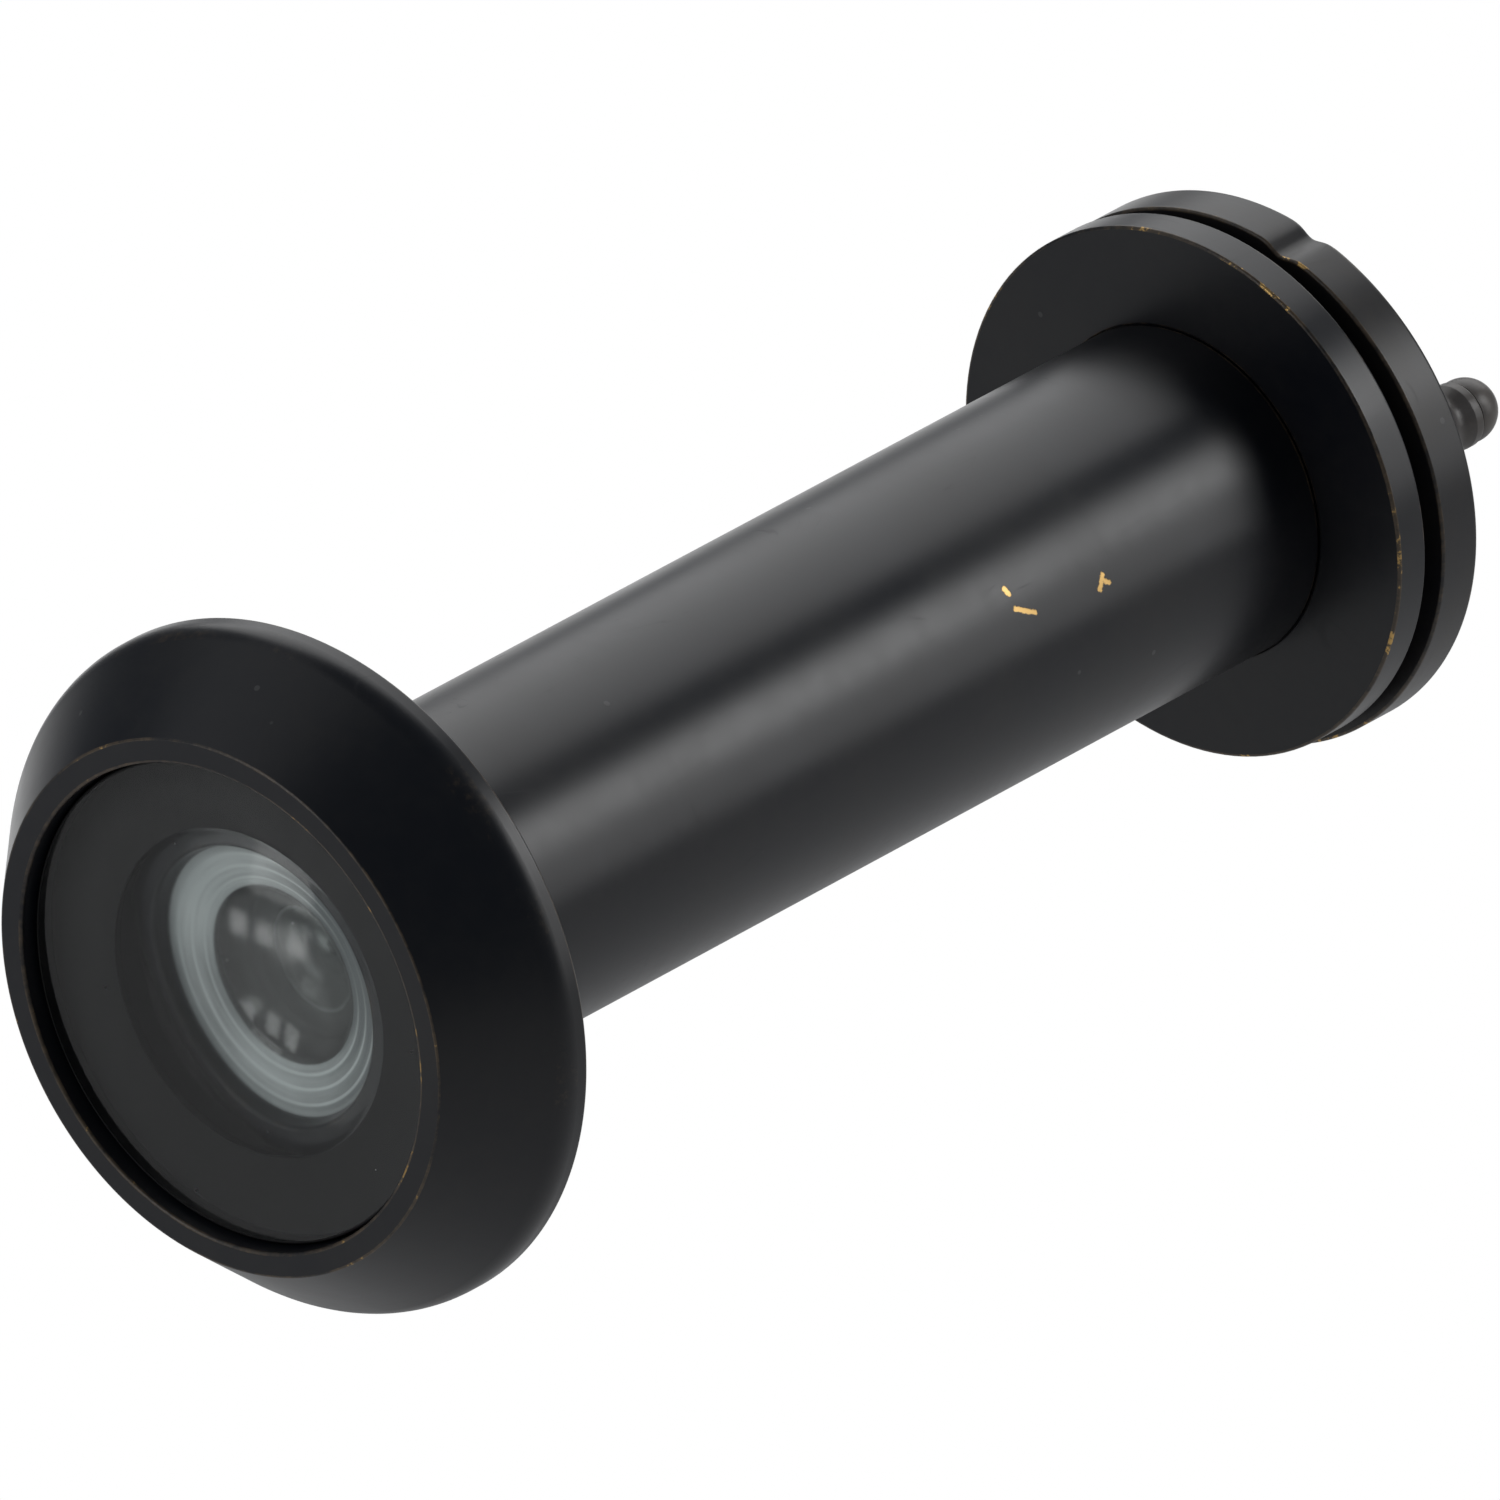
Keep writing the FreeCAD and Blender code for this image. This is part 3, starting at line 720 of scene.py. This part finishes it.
def specks_effect():
    """Scattered grains of dust and pinholes."""
    graph, given = effect("specks", [
        ("Vector", "Vector", None), ("Scale", "Float", 900.0), ("Size", "Float", 0.06)],
        numbers("Mask"))
    cells = graph.add("ShaderNodeTexVoronoi", {"Vector": given["Vector"], "Scale": given["Scale"]})
    chosen = graph.math("GREATER_THAN", graph.split(cells.outputs["Color"])[0], 0.90)
    grain = graph.ramp(cells.outputs["Distance"], given["Size"], graph.product(given["Size"], 1.6), 1.0, 0.0)
    graph.add("NodeGroupOutput", {"Mask": graph.product(grain, chosen)})
    return graph.tree


def mottling_effect():
    """Slow uneven depth of a dipped finish or of a wiped surface."""
    graph, given = effect("mottling", [("Vector", "Vector", None), ("Scale", "Float", 120.0)],
                          numbers("Value"))
    broad = noise(graph, given["Vector"], given["Scale"], 3.0, 0.55)
    fine = noise(graph, given["Vector"], graph.product(given["Scale"], 9.0), 3.0, 0.6)
    graph.add("NodeGroupOutput", {"Value": graph.total(graph.product(broad, 0.7), graph.product(fine, 0.3))})
    return graph.tree


# ---------------------------------------------------------------- finishes

def new_finish(name):
    """An empty material, its graph and its object coordinates."""
    material = bpy.data.materials.new(name)
    material.use_nodes = True
    material.node_tree.nodes.clear()
    graph = Graph(material.node_tree)
    return material, graph, graph.add("ShaderNodeTexCoord").outputs["Object"]


def use(graph, tree, **inputs):
    """Places a shared effect and returns its outputs."""
    values = {name.replace("_", " "): value for name, value in inputs.items()}
    node = graph.add("ShaderNodeGroup", node_tree=tree)
    for name, value in values.items():
        graph.feed(node.inputs[name], value)
    return node.outputs


def bumped(graph, height, strength, distance):
    return graph.add("ShaderNodeBump", {"Height": height, "Strength": strength,
                                        "Distance": distance * MM}).outputs["Normal"]


def close_finish(graph, shader):
    graph.add("ShaderNodeOutputMaterial", {"Surface": shader.outputs[0]})


PAINTED_HIGHLIGHT_RING_STEP = 0.55          # between the painted highlight rings of a ground funnel
PAINTED_HIGHLIGHT_SIDE = (-0.5, 0.866)   # X and Z of the way that the ground flats get a painted highlight, on both ends of it
PAINTED_SHADE_SLOPE = 65.0            # how fast painted shade darkens the ground flats towards +X, per metre
PATINA_DARK = (0.0065, 0.0075, 0.0115, 1)
PATINA_LIGHT = (0.0130, 0.0130, 0.0150, 1)
COVER_DARK = (0.0130, 0.0125, 0.0150, 1)
COVER_LIGHT = (0.0230, 0.0195, 0.0170, 1)
# The knob's two tones are painted light: the same bronze as elsewhere, made many times lighter to stand in
# for light on the knob.
KNOB_PAINTED_LIT_DARK = (0.0750, 0.0680, 0.0650, 1)
KNOB_PAINTED_LIT_LIGHT = (0.1250, 0.1100, 0.0960, 1)
BRASS = (0.62, 0.40, 0.15, 1)
RUBBED_BROWN = (0.115, 0.082, 0.050, 1)


def bronzed(name, dark=PATINA_DARK, light=PATINA_LIGHT, gloss=0.30, wear=0.46, centre=(0, 0), rings=14.0,
            marks=0.05, chips=()):
    """Oil-rubbed bronze: a dark satin skin over turned brass, rubbed through on its edges."""
    material, graph, place = new_finish(name)
    edge = graph.add("ShaderNodeAttribute", attribute_name="wear").outputs["Fac"]
    depth = use(graph, MOTTLING, Vector=place, Scale=130.0)["Value"]
    turned = use(graph, TURNING_MARKS, Vector=place, Centre_X=centre[0] * MM, Centre_Z=centre[1] * MM,
                 Rings_per_mm=rings)["Height"]
    hairs = use(graph, SCRATCHES, Vector=place, Scale=1.0)["Mask"]
    dust = use(graph, SPECKS, Vector=place, Scale=700.0, Size=0.07)["Mask"]
    worn = use(graph, WORN_EDGE, Vector=place, Wear=edge, Amount=wear)
    bare = worn["Bare"]
    for angle, level, length, width, slant in chips:
        chip = use(graph, CHIP, Vector=place, Angle=math.radians(angle), Level=level * MM,
                   Surface_Radius=BARREL_RADIUS * MM, Length=length * MM, Width=width * MM,
                   Slant=math.radians(slant))["Mask"]
        bare = graph.math("MAXIMUM", bare, chip)
    patina = graph.mixed(graph.ramp(depth, 0.35, 0.68), dark, light)
    browned = graph.mixed(graph.product(worn["Rubbed"], 0.85), patina, RUBBED_BROWN)
    dusty = graph.mixed(graph.product(dust, 0.5), browned, (0.10, 0.10, 0.10, 1))
    colour = graph.mixed(bare, dusty, BRASS)
    roughness = graph.total(gloss, graph.product(graph.math("SUBTRACT", depth, 0.5), 0.16),
                            graph.product(hairs, 0.10), graph.product(turned, 0.05),
                            graph.product(bare, 0.06))
    height = graph.total(graph.product(turned, marks), graph.product(hairs, -0.05), graph.product(dust, 0.25),
                         graph.product(depth, 0.35), graph.product(bare, -0.5))
    shader = graph.add("ShaderNodeBsdfPrincipled", {
        "Base Color": colour, "Roughness": roughness, "Metallic": bare, "IOR": 1.5,
        "Normal": bumped(graph, height, 0.5, 0.02)})
    close_finish(graph, shader)
    return material


def glass(name, bloom=0.0):
    """Polished optical glass with a faint wiped haze and some bloom. Light reaches what is behind it."""
    material, graph, place = new_finish(name)
    haze = use(graph, MOTTLING, Vector=place, Scale=300.0)["Value"]
    dust = use(graph, SPECKS, Vector=place, Scale=1100.0, Size=0.05)["Mask"]
    roughness = graph.total(graph.ramp(haze, 0.4, 0.75, 0.082, 0.098), graph.product(dust, 0.3))
    shader = graph.add("ShaderNodeBsdfPrincipled", {
        "Base Color": (0.94, 0.96, 0.955, 1), "Roughness": roughness, "IOR": 1.52, "Transmission Weight": 1.0,
        "Normal": bumped(graph, graph.total(graph.product(haze, 0.2), dust), 0.02, 0.01)})
    misted = graph.add("ShaderNodeMixShader", {"Fac": graph.product(haze, bloom)})
    graph.feed(misted.inputs[1], shader.outputs[0])
    mist = graph.add("ShaderNodeBsdfDiffuse", {"Color": (0.8, 0.8, 0.78, 1)})
    graph.feed(misted.inputs[2], mist.outputs[0])
    open_way = graph.add("ShaderNodeBsdfTransparent", {"Color": (0.92, 0.95, 0.945, 1)})
    path = graph.add("ShaderNodeLightPath")
    soft = graph.math("MAXIMUM", path.outputs["Is Shadow Ray"], path.outputs["Is Diffuse Ray"])
    both = graph.add("ShaderNodeMixShader", {"Fac": soft})
    graph.feed(both.inputs[1], misted.outputs[0])
    graph.feed(both.inputs[2], open_way.outputs[0])
    close_finish(graph, both)
    return material


def ground_glass_with_painted_light(name):
    """Ground flat of a lens, with grit, cloud and grinding rings. Its colour also carries painted highlights
    on two opposite sides and in thin rings, and painted shade towards +X.
    """
    material, graph, place = new_finish(name)
    grit = noise(graph, place, 9000.0, 3.0, 0.7)
    cloud = use(graph, MOTTLING, Vector=place, Scale=420.0)["Value"]
    rings = use(graph, TURNING_MARKS, Vector=place, Rings_per_mm=2.6)["Height"]
    x, _, z = graph.split(place)
    # Painted highlight on two opposite sides, and painted highlight rings one step apart in radius.
    across = graph.total(graph.product(x, PAINTED_HIGHLIGHT_SIDE[0]), graph.product(z, PAINTED_HIGHLIGHT_SIDE[1]))
    painted_highlight_sides = graph.math("ABSOLUTE", graph.math("DIVIDE", across, radius_of(graph, x, z)))
    painted_highlight_rings = graph.math("SINE", graph.product(radius_of(graph, x, z), 2 * math.pi / (PAINTED_HIGHLIGHT_RING_STEP * MM)))
    # Painted light and shade on top of the real cloud and grinding rings: brighter on two sides and in rings,
    # darker towards +X.
    light = graph.total(graph.product(graph.ramp(painted_highlight_sides, 0.1, 1.0), 0.42), graph.product(cloud, 0.22),
                        graph.product(graph.ramp(rings, 0.35, 0.65), 0.25),
                        graph.product(graph.ramp(painted_highlight_rings, 0.6, 1.0), 0.42), graph.product(x, -PAINTED_SHADE_SLOPE))
    colour = graph.mixed(graph.ramp(light, 0.15, 1.05), (0.23, 0.245, 0.25, 1), (0.93, 0.96, 0.95, 1))
    shader = graph.add("ShaderNodeBsdfPrincipled", {
        "Base Color": colour, "Roughness": graph.ramp(grit, 0.3, 0.7, 0.42, 0.62), "IOR": 1.52,
        "Normal": bumped(graph, graph.total(grit, rings), 0.2, 0.01)})
    close_finish(graph, shader)
    return material


def edge_paint(name):
    """Matt black paint on the edge of the front lens, to keep stray light out."""
    material, graph, place = new_finish(name)
    depth = use(graph, MOTTLING, Vector=place, Scale=160.0)["Value"]
    colour = graph.mixed(depth, (0.003, 0.003, 0.0035, 1), (0.009, 0.009, 0.010, 1))
    shader = graph.add("ShaderNodeBsdfPrincipled", {
        "Base Color": colour, "Roughness": graph.ramp(depth, 0.3, 0.7, 0.62, 0.72), "IOR": 1.5})
    close_finish(graph, shader)
    return material


def blackened(name):
    """Brass blackened to keep stray light down, with its tool rings just visible."""
    material, graph, place = new_finish(name)
    rings = use(graph, TURNING_MARKS, Vector=place, Rings_per_mm=9.0)["Height"]
    depth = use(graph, MOTTLING, Vector=place, Scale=300.0)["Value"]
    colour = graph.mixed(depth, (0.004, 0.004, 0.005, 1), (0.016, 0.015, 0.014, 1))
    shader = graph.add("ShaderNodeBsdfPrincipled", {
        "Base Color": colour, "Roughness": graph.ramp(rings, 0.2, 0.8, 0.42, 0.58), "IOR": 1.5,
        "Normal": bumped(graph, rings, 0.5, 0.015)})
    close_finish(graph, shader)
    return material


def gasket_fibre(name):
    """Matt black fibre ring."""
    material, graph, place = new_finish(name)
    fibre = noise(graph, place, 5200.0, 4.0, 0.7)
    colour = graph.mixed(fibre, (0.006, 0.006, 0.007, 1), (0.018, 0.018, 0.020, 1))
    shader = graph.add("ShaderNodeBsdfPrincipled", {
        "Base Color": colour, "Roughness": graph.ramp(fibre, 0.3, 0.7, 0.75, 0.95),
        "Normal": bumped(graph, fibre, 0.6, 0.03)})
    close_finish(graph, shader)
    return material


def spring_steel(name):
    """Tempered strip, blued a little, with rolling lines."""
    material, graph, place = new_finish(name)
    rings = use(graph, TURNING_MARKS, Vector=place, Centre_X=SCREW_X * MM, Centre_Z=SCREW_Z * MM,
                Rings_per_mm=18.0)["Height"]
    hairs = use(graph, SCRATCHES, Vector=place, Scale=2.0)["Mask"]
    colour = graph.mixed(rings, (0.20, 0.21, 0.24, 1), (0.36, 0.36, 0.37, 1))
    shader = graph.add("ShaderNodeBsdfPrincipled", {
        "Base Color": colour, "Metallic": 1.0,
        "Roughness": graph.total(0.28, graph.product(rings, 0.12), graph.product(hairs, 0.1)),
        "Normal": bumped(graph, graph.total(rings, graph.product(hairs, -0.5)), 0.3, 0.01)})
    close_finish(graph, shader)
    return material


# ---------------------------------------------------------------- the viewer's pieces

TURNING = turning_tree()
NICK = nick_tree()
DRILLING = drilling_tree()
SLOTTING = slotting_tree()
TURNING_MARKS = turning_marks_effect()
SCRATCHES = scratches_effect()
WORN_EDGE = worn_edge_effect()
CHIP = chip_effect()
SPECKS = specks_effect()
MOTTLING = mottling_effect()

# Scratches on the barrel: angle, level, length, width and slant, in degrees and millimetres
BARREL_CHIPS = (
    (36.7, 35.5, 0.25, 0.17, -20),
    (28.4, 36.0, 1.05, 0.15, -62),
    (24.9, 40.4, 0.60, 0.16, 40),
    (24.2, 40.7, 0.25, 0.15, -60),
)

barrel_bronze = bronzed("oil_rubbed_barrel", chips=BARREL_CHIPS)
tube_bronze = bronzed("oil_rubbed_tube")
cover_bronze = bronzed("oil_rubbed_cover", dark=COVER_DARK, light=COVER_LIGHT, gloss=0.32)
# The knob: the same bronze with painted light in its colour.
knob_bronze = bronzed("oil_rubbed_knob_painted_lit", dark=KNOB_PAINTED_LIT_DARK, light=KNOB_PAINTED_LIT_LIGHT, gloss=0.34,
                      centre=(KNOB_X, KNOB_Z))
screw_bronze = bronzed("oil_rubbed_screw", gloss=0.28, centre=(SCREW_X, SCREW_Z))
polished = glass("polished_glass")
inner_glass = glass("inner_glass", bloom=0.10)
# Frosted glass whose colour carries painted highlights and painted shade.
frosted = ground_glass_with_painted_light("frosted_glass_painted_light")
black = blackened("camera_black")
paint = edge_paint("edge_paint")
fibre = gasket_fibre("gasket_fibre")
steel = spring_steel("blued_strip")

turned_piece("outer_barrel", "outdoor_assembly", "bronzed_brass", barrel_outline(), barrel_bronze,
             segments=256)
turned_piece("front_lens", "outdoor_assembly", "optical_glass", front_lens_outline(), polished,
             closed=False, ground=paint)
turned_piece("second_lens", "outdoor_assembly", "optical_glass", second_lens_outline(), inner_glass,
             closed=False, ground=frosted)
turned_piece("third_lens", "outdoor_assembly", "optical_glass", third_lens_outline(), inner_glass,
             closed=False, ground=frosted)
turned_piece("ocular_lens", "eyepiece_optics", "ocular_glass", ocular_outline(), polished,
             closed=False, ground=frosted)

ABOVE = 1.0                   # cutters start this far clear of the face that they cut
pocket_cut = (DRILLING, {"Radius": SPRING_POCKET[0] * MM, "Centre X": SCREW_X * MM, "Centre Z": SCREW_Z * MM,
                         "Low Level": (LAND_TOP - SPRING_POCKET[1]) * MM,
                         "High Level": (LAND_TOP + ABOVE) * MM})
coin_cut = (SLOTTING, {"Width": COIN_SLOT[0] * MM, "Length": 4 * FLANGE_RADIUS * MM,
                       "Angle": math.radians(KNOB_ANGLE + 90), "Centre X": 0.0, "Centre Z": 0.0,
                       "Low Level": (LAND_TOP - COIN_SLOT[1]) * MM, "High Level": (LAND_TOP + ABOVE) * MM})
turned_piece("inner_tube", "inner_tube", "tube_bronze", tube_outline(), tube_bronze,
             cuts=(coin_cut, pocket_cut), segments=128, Pitch=THREAD_PITCH * MM,
             **{"Thread Start": THREAD_START * MM, "Thread End": THREAD_END * MM,
                "Thread Root": THREAD_ROOT * MM})

screw_cut = (SLOTTING, {"Width": SCREW_SLOT * MM, "Length": 4 * SCREW_HEAD * MM,
                        "Angle": math.radians(KNOB_ANGLE + SCREW_SLOT_TURN),
                        "Centre X": SCREW_X * MM, "Centre Z": SCREW_Z * MM,
                        "Low Level": (SCREW_HIGH.y - SCREW_SLOT) * MM,
                        "High Level": (SCREW_HIGH.y + ABOVE) * MM})
turned_piece("pivot_screw", "inner_tube", "screw_bronze", screw_outline(), screw_bronze, cuts=(screw_cut,),
             segments=96, closed=False, centre=(SCREW_X, SCREW_Z))

rim_nick = (NICK, {"Angle": math.radians(NICK_ANGLE), "Centre Z": COVER_Z * MM,
                   "Rim Radius": COVER_RADIUS * MM, "Depth": NICK_SIZE[0] * MM, "Width": NICK_SIZE[1] * MM,
                   "Reach": ABOVE * MM})


def cover_hole(radius, x, z):
    return (DRILLING, {"Radius": radius * MM, "Centre X": x * MM, "Centre Z": z * MM,
                       "Low Level": (COVER_LOW.y - ABOVE) * MM, "High Level": (COVER_HIGH.y + ABOVE) * MM})


turned_piece("cover", "privacy_cover", "cover_bronze", cover_outline(), cover_bronze,
             segments=720, closed=False, centre=(0, COVER_Z),
             cuts=(rim_nick, cover_hole(SCREW_SHANK + SCREW_CLEARANCE, SCREW_X, SCREW_Z),
                   cover_hole(KNOB_SHANK, KNOB_X, KNOB_Z)))
turned_piece("cover_knob", "privacy_cover", "knob_bronze", knob_outline(), knob_bronze, segments=96,
             closed=False, centre=(KNOB_X, KNOB_Z))

for node, material in (("front_lens_gasket", fibre), ("ocular_gasket", fibre), ("lens_spacer", black),
                       ("aperture_stop", black), ("lens_retaining_ring", black),
                       ("ocular_retaining_ring", black), ("spring_washer", steel)):
    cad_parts[node].data.materials.clear()
    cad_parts[node].data.materials.append(material)


# ---------------------------------------------------------------- studio

VIEW_AZIMUTH = 40.0
VIEW_ELEVATION = 26.8
VIEW_DISTANCE = 2.4
VIEW_WIDTH = 58.45            # what the camera takes in at the object
AIM_RIGHT = -0.99
AIM_UP = -1.545
SENSOR = 36.0


def middle_of_object():
    low, high = cad_box
    return (Vector(low) + Vector(high)) / 2


def add_camera():
    azimuth = math.radians(VIEW_AZIMUTH)
    elevation = math.radians(VIEW_ELEVATION)
    right = Vector((math.cos(azimuth), math.sin(azimuth), 0))
    back = Vector((math.sin(azimuth) * math.cos(elevation), -math.cos(azimuth) * math.cos(elevation),
                   math.sin(elevation)))
    up = back.cross(right)
    aim = middle_of_object() + right * AIM_RIGHT * MM + up * AIM_UP * MM
    lens = bpy.data.cameras.new("camera")
    lens.sensor_width = SENSOR
    lens.lens = SENSOR * VIEW_DISTANCE / (VIEW_WIDTH * MM)
    lens.clip_start = 0.1
    lens.clip_end = 100
    camera = bpy.data.objects.new("camera", lens)
    camera.location = aim + back * VIEW_DISTANCE
    camera.rotation_euler = back.to_track_quat("Z", "Y").to_euler()
    bpy.context.scene.collection.objects.link(camera)
    bpy.context.scene.camera = camera


def softbox(name, direction, distance, width, height, radiance, target=None):
    """A square-edged soft light that faces the object, or a target on it, from a direction."""
    lamp = bpy.data.lights.new(name, "AREA")
    lamp.shape = "RECTANGLE"
    lamp.size = width
    lamp.size_y = height
    lamp.energy = radiance * math.pi * width * height
    holder = bpy.data.objects.new(name, lamp)
    toward = Vector(direction).normalized()
    holder.location = (target or middle_of_object()) + toward * distance
    holder.rotation_euler = toward.to_track_quat("Z", "Y").to_euler()
    holder.visible_camera = False
    bpy.context.scene.collection.objects.link(holder)


def add_floor():
    """A plain pale floor, white to the eye."""
    size = 3.0
    level = -100 * MM
    mesh = bpy.data.meshes.new("floor")
    mesh.from_pydata([(-size, -size, level), (size, -size, level), (size, size, level), (-size, size, level)],
                     [], [(0, 1, 2, 3)])
    floor = bpy.data.objects.new("floor", mesh)
    bpy.context.scene.collection.objects.link(floor)
    material, graph, _ = new_finish("pale_floor")
    paint = graph.add("ShaderNodeBsdfDiffuse", {"Color": (0.45, 0.45, 0.45, 1)})
    lift = graph.add("ShaderNodeEmission", {"Color": (1, 1, 1, 1), "Strength": 0.21})
    lifted = graph.add("ShaderNodeAddShader")
    graph.feed(lifted.inputs[0], paint.outputs[0])
    graph.feed(lifted.inputs[1], lift.outputs[0])
    glow = graph.add("ShaderNodeEmission", {"Color": (1, 1, 1, 1), "Strength": 1.0})
    seen = graph.add("ShaderNodeLightPath").outputs["Is Camera Ray"]
    both = graph.add("ShaderNodeMixShader", {"Fac": seen})
    graph.feed(both.inputs[1], lifted.outputs[0])
    graph.feed(both.inputs[2], glow.outputs[0])
    close_finish(graph, both)
    mesh.materials.append(material)


def add_world():
    """A white surround to the eye, and a dim one to the object."""
    world = bpy.data.worlds.new("surround")
    world.use_nodes = True
    world.node_tree.nodes.clear()
    graph = Graph(world.node_tree)
    seen = graph.add("ShaderNodeLightPath").outputs["Is Camera Ray"]
    dim = graph.add("ShaderNodeBackground", {"Color": (0.75, 0.86, 1.0, 1), "Strength": 0.09})
    white = graph.add("ShaderNodeBackground", {"Color": (1, 1, 1, 1), "Strength": 1.0})
    both = graph.add("ShaderNodeMixShader", {"Fac": seen})
    graph.feed(both.inputs[1], dim.outputs[0])
    graph.feed(both.inputs[2], white.outputs[0])
    graph.add("ShaderNodeOutputWorld", {"Surface": both.outputs[0]})
    bpy.context.scene.world = world


add_camera()
add_floor()
add_world()
head_front = Vector((0, RIM_LEVEL, 0)) * MM
knob_ball = Vector((KNOB_X, KNOB_HIGH.y, KNOB_Z)) * MM
softbox("back_softbox", (-0.44, 0.684, 0.583), 0.45, 0.5, 0.42, 1.5)
softbox("side_softbox", (0.656, 0.684, 0.32), 0.45, 0.22, 0.34, 1.6)
softbox("front_softbox", (-0.6, -0.5, 0.62), 0.6, 0.6, 0.6, 0.35)
softbox("knob_lamp", (0.62, 0.55, 0.56), 0.16, 0.05, 0.06, 4.2, knob_ball)
softbox("head_softbox", (-0.3, -0.85, 0.45), 0.2, 0.1, 0.1, 1.7, head_front)
softbox("low_kicker", (-0.6, 0.69, -0.30), 0.2, 0.2, 0.12, 0.75)
for place in (-1, 0, 1):
    softbox("lens_lamp", (-0.41 + 0.26 * place, -0.9, 0.0), 0.13, 0.018, 0.018, 3.4, head_front)
bpy.context.scene.view_settings.view_transform = "Standard"
